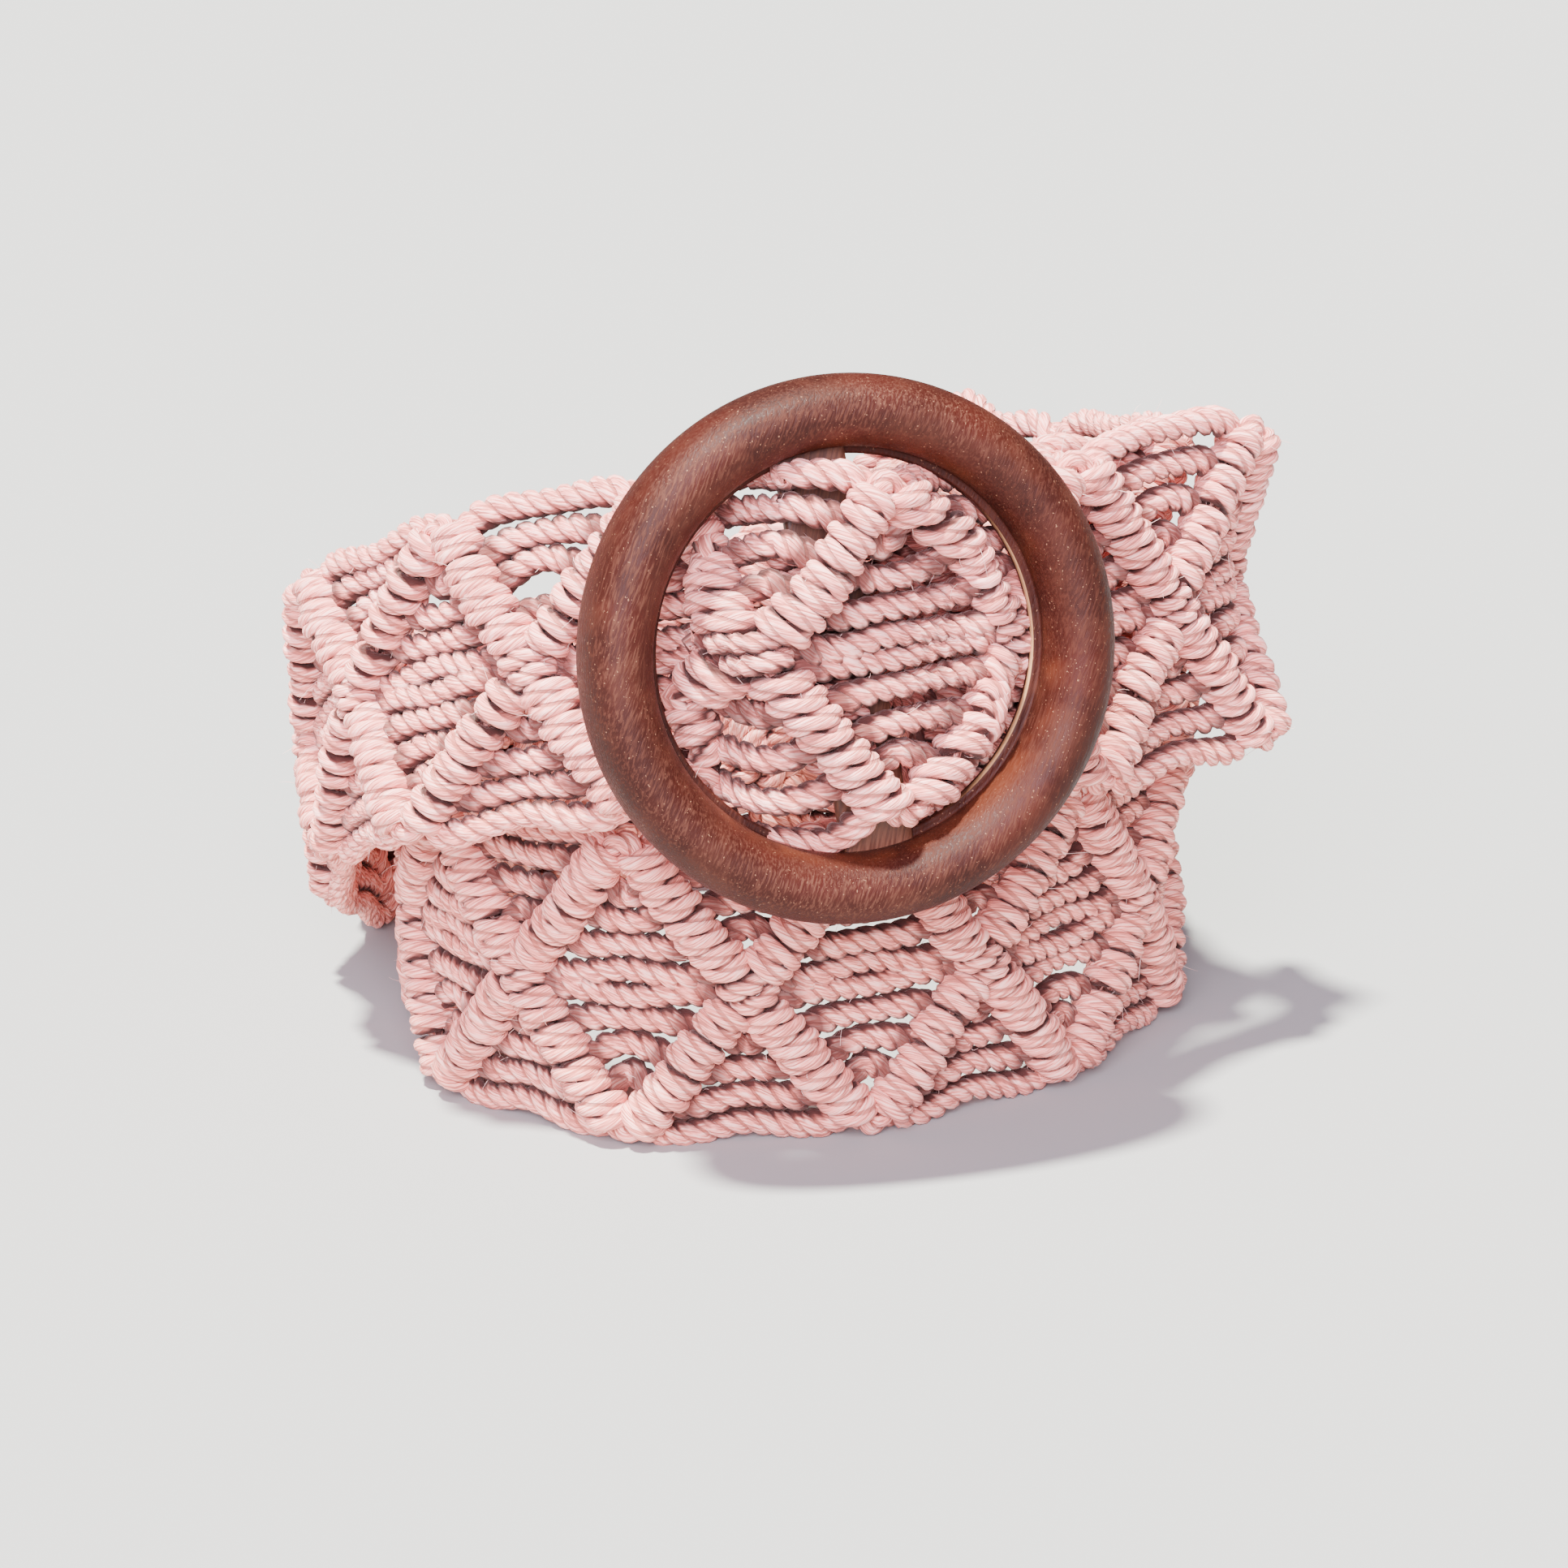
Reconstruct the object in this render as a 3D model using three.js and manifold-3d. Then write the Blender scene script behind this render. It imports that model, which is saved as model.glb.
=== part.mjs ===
// A knotted cotton cord belt with a round wooden slide buckle, rolled into two turns and fastened.
// Millimetres, +Z up. The front of the buckle looks along -Y.
import * as THREE from 'three';
import { mergeVertices } from 'three/addons/utils/BufferGeometryUtils.js';
import Module from 'manifold-3d';

const wasm = await Module();
wasm.setup();

// Driving dimensions of the band
const CORD = 4.2;
const RIB_HALF = 4.4;
const EDGE_SHARE = 0.96;
const SLEEVE_HALF = 1.2;
const SLEEVE_SPAN = 38;
const GAP = 0.3;

// Driving dimensions of the buckle
const RING_OUTER = 45;
const RING_INNER = 33;
const RING_FRONT = 6.5;
const RING_BACK = 5;
const RING_LIP = 0.8;
const RING_SEGMENTS = 48;
const RING_TURN = THREE.MathUtils.degToRad(16);
const RING_LEAN = THREE.MathUtils.degToRad(9);
const RING_CENTRE = new THREE.Vector3(11, -12, 92.5);
const RING_ROLL = THREE.MathUtils.degToRad(8);
const BAR_WIDTH = 12;
const BAR_THICK = 3;
const BAR_LENGTH = 72;
const BAR_SHIFT = -0.5;

// The pattern repeats along the band. Each repeat holds one full-width X of ribs.
const CELLS = 8;
const HALF_ROWS = 4;

// The band's route, a row for each repeat and more at the buckle. The band starts round the bar,
// runs under its own tail, once round at the back, once round on the floor, up on the left and
// through the buckle, and ends as the tail. x, y and mid place its middle line, lean tips its top
// edge inwards in degrees, cup bends its middle inwards and span is its height over the tips.
const ROUTE_COLUMNS = ['repeat', 'x', 'y', 'mid', 'lean', 'cup', 'span'];
const ROUTE_ROWS = [
  [0, 20, 3.2, 91, 9, 0, 57],
  [0.5, 32, 16.2, 90, 8, 0, 57],
  [1, 44, 31, 88, 6, 0, 57],
  [2, 69, 57, 86, 3, 2, 57],
  [2.5, 62, 76, 84, 0, 0, 56],
  [3, 52, 94, 78, 0, 0, 56],
  [4, 31, 122, 75, 0, 0, 56],
  [5, 1, 138, 51, 0, 0, 56],
  [6, -33, 131, 31, 0, 0, 56],
  [7, -59, 105, 28, 0, 0, 56],
  [8, -66, 67, 28, 0, 0, 56],
  [9, -59, 28, 28, 0, 0, 56],
  [10, -27, 6, 28, 0, 0, 56],
  [11, 15, 10, 28, 0, 0, 56],
  [12, 50, 32, 28, 0, 0, 56],
  [13, 70, 70, 28, 0, 0, 56],
  [14, 62, 113, 28, 0, 0, 56],
  [15, 32, 146, 28, 0, 0, 56],
  [16, -8, 157, 28, 0, 0, 56],
  [17, -49, 148, 28, 0, 0, 56],
  [18, -78, 119, 28, 0, 0, 56],
  [19, -84, 81, 43, 0, 0, 54],
  [20, -81, 44, 64, -3, 0, 54],
  [21, -60, 10, 81, 11, 0, 56],
  [22, -22, -8, 91, 9, -1, 56],
  [22.25, -11, -6, 93, 11, -8, 55],
  [22.5, -3, -17, 95, 9, -4, 55],
  [22.75, 9, -18, 95, 7, -2, 55],
  [23, 21, -15, 95, 6, -1, 56],
  [23.25, 26, 0.5, 93, 7, -9, 54],
  [23.5, 35, 6, 91, 8, -4, 57],
  [24, 51, 20, 88, 8, 0, 59],
  [25, 81, 49, 87, 5, 5, 60],
  [25.5, 82, 70, 85, 0, 4, 57],
];
const LAST_REPEAT = 25.5;

// The repeats whose top edge cords hang slack, with one large gap under them.
const SLACK_REPEATS = [20, 21];

const material = (color, roughness) => new THREE.MeshStandardMaterial({ color, roughness, metalness: 0 });

// A point on the band's middle line with its lean, cup and span, from a cubic through the rows.
function routeAt(rows, repeat) {
  const last = rows.length - 2;
  let k = 0;
  while (k < last && rows[k + 1][0] < repeat) {
    k += 1;
  }
  const a = rows[k];
  const b = rows[k + 1];
  const before = rows[Math.max(k - 1, 0)];
  const after = rows[Math.min(k + 2, rows.length - 1)];
  const length = b[0] - a[0];
  const f = (repeat - a[0]) / length;
  const value = {};
  const slope = {};
  ROUTE_COLUMNS.forEach((name, column) => {
    const startSlope = (b[column] - before[column]) / (b[0] - before[0]) * length;
    const endSlope = (after[column] - a[column]) / (after[0] - a[0]) * length;
    const change = b[column] - a[column];
    const c2 = 3 * change - 2 * startSlope - endSlope;
    const c3 = startSlope + endSlope - 2 * change;
    value[name] = a[column] + f * (startSlope + f * (c2 + f * c3));
    slope[name] = startSlope + f * (2 * c2 + f * 3 * c3);
  });
  return { value, slope };
}

// The band's cross-line at one station: its middle point, the way up along it and the way out.
// The lower tips never go below the table at height 0.
function stationFromRoute(repeat) {
  const { value, slope } = routeAt(ROUTE_ROWS, repeat);
  const outward = new THREE.Vector3(slope.y, -slope.x, 0).normalize();
  const lean = THREE.MathUtils.degToRad(value.lean);
  const up = new THREE.Vector3(0, 0, 1);
  const across = up.clone().multiplyScalar(Math.cos(lean)).addScaledVector(outward, -Math.sin(lean));
  const out = outward.multiplyScalar(Math.cos(lean)).addScaledVector(up, Math.sin(lean));
  const middle = new THREE.Vector3(value.x, value.y, Math.max(value.mid, value.span / 2));
  return { middle, across, out, cup: value.cup, span: value.span };
}

// The frame of the ring: right across the bar, up along the bar and front along the ring's axis.
// The roll tips the bar's top to the left in the ring's own plane.
const ringLevel = new THREE.Vector3(Math.sin(RING_TURN), -Math.cos(RING_TURN), 0);
const ringFront = ringLevel.multiplyScalar(Math.cos(RING_LEAN)).setZ(Math.sin(RING_LEAN));
const ringRight = new THREE.Vector3(Math.cos(RING_TURN), Math.sin(RING_TURN), 0);
ringRight.applyAxisAngle(ringFront, RING_ROLL);
const ringUp = ringFront.clone().cross(ringRight);

// The start of the band is a plain sleeve round the bar: across its front to the left, round
// its left edge and back along its rear face.
const SLEEVE_STEPS = 16;
function sleeveStation(share) {
  const radius = BAR_THICK / 2 + GAP + SLEEVE_HALF;
  const flat = BAR_WIDTH - 4;
  const bend = Math.PI * radius;
  const total = flat + bend + flat;
  const run = share * total;
  let along;
  let depth;
  let angle;
  if (run < flat) {
    along = BAR_WIDTH / 2 - 4 - run;
    depth = radius;
    angle = 0;
  } else if (run < flat + bend) {
    angle = (run - flat) / radius;
    along = -BAR_WIDTH / 2 - radius * Math.sin(angle);
    depth = radius * Math.cos(angle);
  } else {
    along = -BAR_WIDTH / 2 + (run - flat - bend);
    depth = -radius;
    angle = Math.PI;
  }
  const barDepth = -RING_BACK + BAR_THICK / 2;
  const middle = RING_CENTRE.clone()
    .addScaledVector(ringRight, BAR_SHIFT + along)
    .addScaledVector(ringFront, barDepth + depth);
  const out = ringFront.clone().multiplyScalar(Math.cos(angle)).addScaledVector(ringRight, -Math.sin(angle));
  return { middle, across: ringUp, out, cup: 0, span: SLEEVE_SPAN };
}

// The band as one solid: a grid of nodes on its front and back, raised along the ribs, with the
// gaps between the cords cut through.
function buildBand() {
  const stations = [];
  const bodyColumns = Math.round(LAST_REPEAT * CELLS);
  for (let step = 0; step < SLEEVE_STEPS; step += 1) {
    stations.push({ ...sleeveStation(step / SLEEVE_STEPS), column: -1 });
  }
  for (let column = 0; column <= bodyColumns; column += 1) {
    stations.push({ ...stationFromRoute(column / CELLS), column });
  }
  const positions = [];
  const rowCount = 2 * HALF_ROWS + 1;
  stations.forEach(({ middle, across, out, cup, span, column }) => {
    const inRepeat = column < 0 ? HALF_ROWS : column % CELLS;
    const ribRow = Math.abs(HALF_ROWS - inRepeat);
    const tip = column >= 0 && ribRow >= HALF_ROWS - 1 && inRepeat !== HALF_ROWS;
    for (let row = -HALF_ROWS; row <= HALF_ROWS; row += 1) {
      const share = row / HALF_ROWS * (Math.abs(row) === HALF_ROWS && !tip ? EDGE_SHARE : 1);
      const onRib = column >= 0 && Math.abs(row) === ribRow;
      const half = column < 0 ? SLEEVE_HALF : onRib ? RIB_HALF : CORD / 2;
      const centre = middle.clone()
        .addScaledVector(across, share * span / 2)
        .addScaledVector(out, -cup * (1 - share * share));
      [half, -half].forEach((offset) => {
        const point = centre.clone().addScaledVector(out, offset);
        positions.push(point.x, point.y, point.z);
      });
    }
  });
  const node = (station, row, side) => (station * rowCount + row + HALF_ROWS) * 2 + side;

  // Each cell is split along the rib's direction, and a half that lies in a gap is left out.
  const inGap = (column, row, corner) => {
    const j = ((column % CELLS) + CELLS) % CELLS;
    const i = row >= 0 ? row : -1 - row;
    const slack = row >= 0 && SLACK_REPEATS.includes(Math.floor(column / CELLS));
    if (corner === 'near' && i === 2 && (j === 0 || j === CELLS - 1)) return true;
    if (corner === 'far' && i === 1 && (j === 3 || j === 4)) return true;
    if (slack && i === 2 && (j === 3 || j === 4)) return true;
    return slack && corner === 'far' && i === 2 && (j === 2 || j === 5);
  };
  const kept = [];
  for (let station = 0; station < stations.length - 1; station += 1) {
    const column = stations[station].column;
    const woven = column >= 0;
    const firstHalf = !woven || column % CELLS < HALF_ROWS;
    for (let row = -HALF_ROWS; row < HALF_ROWS; row += 1) {
      const upper = row >= 0;
      const inner = upper ? row : row + 1;
      const outer = upper ? row + 1 : row;
      const nearStation = firstHalf ? station : station + 1;
      const farStation = firstHalf ? station + 1 : station;
      const a = [nearStation, inner];
      const b = [farStation, inner];
      const c = [nearStation, outer];
      const d = [farStation, outer];
      const flip = firstHalf === upper;
      const open = (corner) => woven && column < LAST_REPEAT * CELLS - 1 && column > 0 && inGap(column, row, corner);
      if (!open('near')) kept.push(flip ? [a, b, c] : [a, c, b]);
      if (!open('far')) kept.push(flip ? [b, d, c] : [b, c, d]);
    }
  }
  const index = [];
  const edges = new Map();
  const key = (p) => p[0] * rowCount + p[1] + HALF_ROWS;
  kept.forEach((corners) => {
    index.push(...corners.map((p) => node(p[0], p[1], 0)));
    index.push(...corners.map((p) => node(p[0], p[1], 1)).reverse());
    corners.forEach((p, k) => edges.set(`${key(p)}:${key(corners[(k + 1) % 3])}`, [p, corners[(k + 1) % 3]]));
  });
  edges.forEach(([p, q], name) => {
    const [from, to] = name.split(':');
    if (edges.has(`${to}:${from}`)) return;
    const frontP = node(p[0], p[1], 0);
    const frontQ = node(q[0], q[1], 0);
    const backP = node(p[0], p[1], 1);
    const backQ = node(q[0], q[1], 1);
    index.push(frontP, backP, frontQ, frontQ, backP, backQ);
  });
  const geometry = new THREE.BufferGeometry();
  geometry.setAttribute('position', new THREE.Float32BufferAttribute(positions, 3));
  geometry.setIndex(index);
  return geometry;
}

// The ring's section: a round front, a flatter back and a small lip at the inner back edge.
function ringSection() {
  const middle = (RING_OUTER + RING_INNER) / 2;
  const half = (RING_OUTER - RING_INNER) / 2;
  const steps = 20;
  const points = [];
  for (let step = 0; step < steps; step += 1) {
    const angle = step / steps * 2 * Math.PI;
    const depth = Math.sin(angle);
    const flat = depth > 0 ? depth * RING_FRONT : -Math.pow(-depth, 0.6) * RING_BACK;
    const lip = depth < 0 && depth > -0.7 && Math.cos(angle) < 0 ? RING_LIP : 0;
    points.push(new THREE.Vector2(middle + half * Math.cos(angle) - lip, flat));
  }
  points.push(points[0].clone());
  return points;
}

function toManifold(geometry) {
  const plain = geometry.clone();
  plain.deleteAttribute('normal');
  plain.deleteAttribute('uv');
  const merged = mergeVertices(plain, 1e-4);
  return new wasm.Manifold(new wasm.Mesh({
    numProp: 3,
    vertProperties: new Float32Array(merged.attributes.position.array),
    triVerts: new Uint32Array(merged.index.array),
  }));
}

function fromManifold(solid) {
  const mesh = solid.getMesh();
  const geometry = new THREE.BufferGeometry();
  geometry.setAttribute('position', new THREE.BufferAttribute(mesh.vertProperties, 3));
  geometry.setIndex(new THREE.BufferAttribute(mesh.triVerts, 1));
  return geometry;
}

// Turns a shape made with its width along X, its length along Y and its front along Z, into the ring's frame.
function placeInRing(geometry) {
  const frame = new THREE.Matrix4().makeBasis(ringRight, ringUp, ringFront);
  frame.setPosition(RING_CENTRE);
  return geometry.applyMatrix4(frame);
}

function barBox(clearance) {
  const box = new THREE.BoxGeometry(BAR_WIDTH + 2 * clearance, BAR_LENGTH + 2 * clearance, BAR_THICK + 2 * clearance);
  return box.translate(BAR_SHIFT, 0, -RING_BACK + BAR_THICK / 2);
}

function buildRing() {
  const lathe = new THREE.LatheGeometry(ringSection(), RING_SEGMENTS);
  lathe.rotateX(Math.PI / 2);
  const solid = toManifold(lathe).subtract(toManifold(barBox(GAP)));
  return placeInRing(fromManifold(solid));
}

const group = new THREE.Group();
group.name = 'braided_belt';
const pieces = [
  ['belt_band', buildBand(), material(0xdcb6ae, 0.95)],
  ['buckle_ring', buildRing(), material(0x6b3527, 0.42)],
  ['buckle_bar', placeInRing(barBox(0)), material(0x8a5238, 0.6)],
];
pieces.forEach(([name, geometry, look]) => {
  geometry.computeVertexNormals();
  const mesh = new THREE.Mesh(geometry, look);
  mesh.name = name;
  group.add(mesh);
});

// The whole stands on its lowest point, centred over the origin.
const box = new THREE.Box3().setFromObject(group);
const centre = box.getCenter(new THREE.Vector3());
group.children.forEach((mesh) => mesh.geometry.translate(-centre.x, -centre.y, -box.min.z));

export default group;
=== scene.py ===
import math

import bpy
import numpy as np
from mathutils import Matrix, Vector


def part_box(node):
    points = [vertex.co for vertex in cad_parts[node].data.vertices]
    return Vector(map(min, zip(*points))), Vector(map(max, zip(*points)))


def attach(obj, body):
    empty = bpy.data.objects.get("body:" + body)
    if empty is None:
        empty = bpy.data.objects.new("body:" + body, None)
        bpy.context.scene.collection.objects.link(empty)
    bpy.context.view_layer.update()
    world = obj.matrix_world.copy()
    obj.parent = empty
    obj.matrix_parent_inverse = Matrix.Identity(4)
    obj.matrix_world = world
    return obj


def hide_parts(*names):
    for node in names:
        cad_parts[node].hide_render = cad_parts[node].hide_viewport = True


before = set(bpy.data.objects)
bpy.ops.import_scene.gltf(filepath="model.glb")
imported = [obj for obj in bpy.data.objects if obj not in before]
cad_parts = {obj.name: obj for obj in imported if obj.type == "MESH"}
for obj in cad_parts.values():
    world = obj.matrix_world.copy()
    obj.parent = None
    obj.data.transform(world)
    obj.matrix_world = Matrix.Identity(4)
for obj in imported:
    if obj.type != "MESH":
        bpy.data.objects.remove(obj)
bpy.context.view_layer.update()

MM = 0.001

# The camera looks at the buckle from the front and a little above, as a long lens on a table top
# sees it. The route of the belt has its own zero on the table, and the bar shows where that lies
# in the frame.
RING_CENTRE = np.array([11, -12, 92.5]) * MM
RING_TURN = math.radians(16)
RING_LEAN = math.radians(9)
RING_ROLL = math.radians(8)
RING_BACK = 5 * MM
BAR_THICK = 3 * MM
BAR_SHIFT = -0.5 * MM
VIEW_ELEVATION = math.radians(18)
VIEW_DISTANCE = 800 * MM
VIEW_TARGET = np.array([0, 40, 53]) * MM
VIEW_LENS = 104.5

ring_front = np.array([
    math.sin(RING_TURN) * math.cos(RING_LEAN),
    -math.cos(RING_TURN) * math.cos(RING_LEAN),
    math.sin(RING_LEAN),
])
ring_level = np.array([math.cos(RING_TURN), math.sin(RING_TURN), 0])
ring_steep = np.cross(ring_front, ring_level)
ring_right = math.cos(RING_ROLL) * ring_level + math.sin(RING_ROLL) * ring_steep
ring_up = np.cross(ring_front, ring_right)
bar_low, bar_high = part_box("buckle_bar")
bar_middle = (np.array(bar_low) + np.array(bar_high)) / 2
bar_depth = BAR_THICK / 2 - RING_BACK
route_zero = bar_middle - (RING_CENTRE + BAR_SHIFT * ring_right + bar_depth * ring_front)

lens = bpy.data.cameras.new("camera")
lens.lens = VIEW_LENS
lens.sensor_width = 36
lens.clip_end = 20
camera = bpy.data.objects.new("camera", lens)
bpy.context.scene.collection.objects.link(camera)
view = Vector((0, math.cos(VIEW_ELEVATION), -math.sin(VIEW_ELEVATION)))
camera.location = Vector(VIEW_TARGET + route_zero) - VIEW_DISTANCE * view
camera.rotation_euler = view.to_track_quat("-Z", "Y").to_euler()
bpy.context.scene.camera = camera


# The belt lies on a plain pale table, which runs on as far as the camera sees.
FLOOR_HALF = 12.0
FLOOR_COLOUR = (0.35, 0.35, 0.35, 1)

floor_mesh = bpy.data.meshes.new("floor")
corners = [(-FLOOR_HALF, -FLOOR_HALF, 0), (FLOOR_HALF, -FLOOR_HALF, 0),
           (FLOOR_HALF, FLOOR_HALF, 0), (-FLOOR_HALF, FLOOR_HALF, 0)]
floor_mesh.from_pydata(corners, [], [(0, 1, 2, 3)])
floor = bpy.data.objects.new("floor", floor_mesh)
bpy.context.scene.collection.objects.link(floor)
floor_look = bpy.data.materials.new("pale_table")
floor_look.use_nodes = True
floor_skin = floor_look.node_tree.nodes["Principled BSDF"]
floor_skin.inputs["Base Color"].default_value = FLOOR_COLOUR
floor_skin.inputs["Roughness"].default_value = 1.0
floor_skin.inputs["Specular IOR Level"].default_value = 0.0
floor_mesh.materials.append(floor_look)


# Soft studio light: a key nearly overhead, which lays the shadows close beside the belt, a broad
# fill from the front, and a pale lilac room that is brightest high at the front left. All are far
# away, so that the table is lit evenly.
LAMPS = [
    # name, direction it shines in, colour, watts per square metre, apparent size in degrees
    ("key", (0.20, 0.20, -1.0), (0.99, 1.0, 0.905), 18.9, 5),
    ("fill", (0.12, 0.92, -0.48), (0.96, 0.87, 1.0), 9.2, 40),
]
ROOM_COLOUR = (0.88, 0.82, 1.0, 1)
ROOM_BRIGHT_WAY = (-0.40, -0.60, 0.69)
ROOM_DIM = 0.12
ROOM_BRIGHT = 1.6
ROOM_FROM = 0.72
ROOM_FULL = 0.97

for name, way, colour, strength, size in LAMPS:
    lamp = bpy.data.lights.new(name, "SUN")
    lamp.color = colour
    lamp.energy = strength
    lamp.angle = math.radians(size)
    lamp_object = bpy.data.objects.new(name, lamp)
    bpy.context.scene.collection.objects.link(lamp_object)
    lamp_object.rotation_euler = Vector(way).to_track_quat("-Z", "Y").to_euler()
room = bpy.data.worlds.new("room")
room.use_nodes = True
room_light = room.node_tree.nodes["Background"]
room_light.inputs["Color"].default_value = ROOM_COLOUR
sky = room.node_tree.nodes.new("ShaderNodeTexCoord")
nearness = room.node_tree.nodes.new("ShaderNodeVectorMath")
nearness.operation = "DOT_PRODUCT"
nearness.inputs[1].default_value = ROOM_BRIGHT_WAY
spread = room.node_tree.nodes.new("ShaderNodeMapRange")
spread.interpolation_type = "SMOOTHSTEP"
spread_ends = (ROOM_FROM, ROOM_FULL, ROOM_DIM, ROOM_BRIGHT)
for socket, number in zip(spread.inputs[1:5], spread_ends):
    socket.default_value = number
room.node_tree.links.new(sky.outputs["Generated"], nearness.inputs[0])
room.node_tree.links.new(nearness.outputs["Value"], spread.inputs[0])
room.node_tree.links.new(spread.outputs[0], room_light.inputs["Strength"])
bpy.context.scene.world = room


# The strap's middle surface. Every cord below runs on it. A row places one cross-line of the
# band: its repeat, its middle point, the lean of its top edge inwards in degrees, how far its
# middle is cupped inwards and its height over the rib tips, in millimetres. The strap ends in the
# middle of its last repeat, and its lower tips stay clear of the table by FOOT.
REPEAT = 42.0
HALF_SPAN = 28.0
LAST_REPEAT = 25.5
FOOT = 0.4
ROUTE = np.array([
    # repeat, x, y, mid, lean, cup, span
    [0, 20, 3.2, 91, 9, 0, 57],
    [0.5, 32, 16.2, 90, 8, 0, 57],
    [1, 44, 31, 88, 6, 0, 57],
    [2, 69, 57, 86, 3, 2, 57],
    [2.5, 62, 76, 84, 0, 0, 56],
    [3, 52, 94, 78, 0, 0, 56],
    [4, 31, 122, 75, 0, 0, 56],
    [5, 1, 138, 51, 0, 0, 56],
    [6, -33, 131, 31, 0, 0, 56],
    [7, -59, 105, 28, 0, 0, 56],
    [8, -66, 67, 28, 0, 0, 56],
    [9, -59, 28, 28, 0, 0, 56],
    [10, -27, 3.5, 28, 0, 0, 56],
    [11, 15, 7.5, 28, 0, 0, 56],
    [12, 50, 32, 28, 0, 0, 56],
    [13, 70, 70, 28, 0, 0, 56],
    [14, 62, 113, 28, 0, 0, 56],
    [15, 32, 146, 28, 0, 0, 56],
    [16, -8, 157, 28, 0, 0, 56],
    [17, -49, 148, 28, 0, 0, 56],
    [18, -78, 119, 28, 0, 0, 56],
    [19, -84, 81, 43, 0, 0, 54],
    [20, -81, 44, 64, -3, 0, 54],
    [21, -60, 10, 81, 11, 0, 56],
    [22, -22, -8, 91, 9, -1, 56],
    [22.25, -11, -6, 93, 11, -8, 55],
    [22.5, -3, -17, 94, 9, -4, 57],
    [22.75, 8, -18, 93.5, 7, -2, 58],
    [23, 18, -14.5, 93.5, 6, -1, 59],
    [23.25, 26, -0.5, 92.5, 7, -9, 55],
    [23.5, 35, 6, 91, 8, -4, 57],
    [24, 51, 20, 88, 8, 0, 59],
    [25, 83.5, 48, 87, 5, 5, 60],
    [25.5, 87.5, 68, 85, 0, 9, 57],
])


def route_at(repeat):
    """The row at each repeat and its change per repeat: a cubic between neighbouring rows whose
    end slopes are the straight slopes over the rows on both sides."""
    marks = ROUTE[:, 0]
    k = np.clip(np.searchsorted(marks, repeat) - 1, 0, len(marks) - 2)
    a, b = ROUTE[k], ROUTE[k + 1]
    before, after = ROUTE[np.maximum(k - 1, 0)], ROUTE[np.minimum(k + 2, len(marks) - 1)]
    length = (b - a)[:, :1]
    start = (b - before) / (b - before)[:, :1] * length
    end = (after - a) / (after - a)[:, :1] * length
    f = (repeat - marks[k])[:, None] / length
    change = b - a
    c2 = 3 * change - 2 * start - end
    c3 = start + end - 2 * change
    return a + f * (start + f * (c2 + f * c3)), (start + f * (2 * c2 + f * 3 * c3)) / length


def unit(vectors):
    return vectors / np.linalg.norm(vectors, axis=-1, keepdims=True)


def band_frame(repeat, height):
    """The surface at repeat and height: the point, and the directions along the band, across it
    and out of it. The cup moves the point inwards by (1 - share squared)."""
    row, slope = route_at(repeat)
    outward = unit(np.stack([slope[:, 2], -slope[:, 1], np.zeros(len(repeat))], axis=1))
    lean = np.radians(row[:, 4])[:, None]
    up = np.array([0.0, 0.0, 1.0])
    across = up * np.cos(lean) - outward * np.sin(lean)
    out = outward * np.cos(lean) + up * np.sin(lean)
    level = np.maximum(row[:, 3], row[:, 6] / 2 + FOOT)
    middle = np.stack([row[:, 1], row[:, 2], level], axis=1)
    share = (height / HALF_SPAN)[:, None]
    cup = row[:, 5:6] * (1 - np.minimum(share ** 2, 1))
    point = middle + across * share * row[:, 6:7] / 2 - out * cup
    return point, np.cross(across, out), across, out


def on_band(path, outward):
    """Carries a path of (x along, y across, z out) in the flat pattern onto the band, in metres,
    with the direction that its section faces."""
    point, along, across, out = band_frame(path[:, 0] / REPEAT, path[:, 1])
    place = (point + out * path[:, 2:3]) * MM + route_zero
    facing = along * outward[:, :1] + across * outward[:, 1:2] + out * outward[:, 2:3]
    return place, unit(facing)


# The cords are three-ply twisted cotton. A cord is a section of three round plies carried along
# its path and turned with the twist, so that the grooves between the plies are real ones. It lies
# flatter where its neighbours press on it. Between pressed cords and in the pits beside the ribs
# the colour carries painted shade, for the shade that falls there: PRESS says how far round a cord
# the painted shade goes in a knot, in the middle of a free stretch and at its ends.
CORD_HALF = 2.35
CORD_SPREAD = 3.0
PLY_PITCH = 10.0 * MM
PLY_PROFILE = np.array([0.66, 0.92, 1.0, 1.0, 0.92] * 3)
COLUMNS = len(PLY_PROFILE)
PRESS_KNOT = 0.62
PRESS_FREE = 0.76
PRESS_END = 0.90
FLANK_FADE = 0.20
OPEN_FROM = 0.3
PIT_FROM = 0.4


def add_mesh(name, points, triangles, uv=None):
    """A mesh object from arrays, smooth shaded, with one texture coordinate for each corner."""
    mesh = bpy.data.meshes.new(name)
    mesh.vertices.add(len(points))
    mesh.vertices.foreach_set("co", np.ascontiguousarray(points, np.float32).ravel())
    mesh.loops.add(3 * len(triangles))
    mesh.loops.foreach_set("vertex_index", np.ascontiguousarray(triangles, np.int32).ravel())
    mesh.polygons.add(len(triangles))
    mesh.polygons.foreach_set("loop_start", np.arange(0, 3 * len(triangles), 3, dtype=np.int32))
    mesh.update(calc_edges=True)
    if uv is not None:
        layer = mesh.uv_layers.new(name="length")
        layer.data.foreach_set("uv", np.ascontiguousarray(uv, np.float32).ravel())
    mesh.shade_smooth()
    piece = bpy.data.objects.new(name, mesh)
    bpy.context.scene.collection.objects.link(piece)
    return piece


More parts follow.
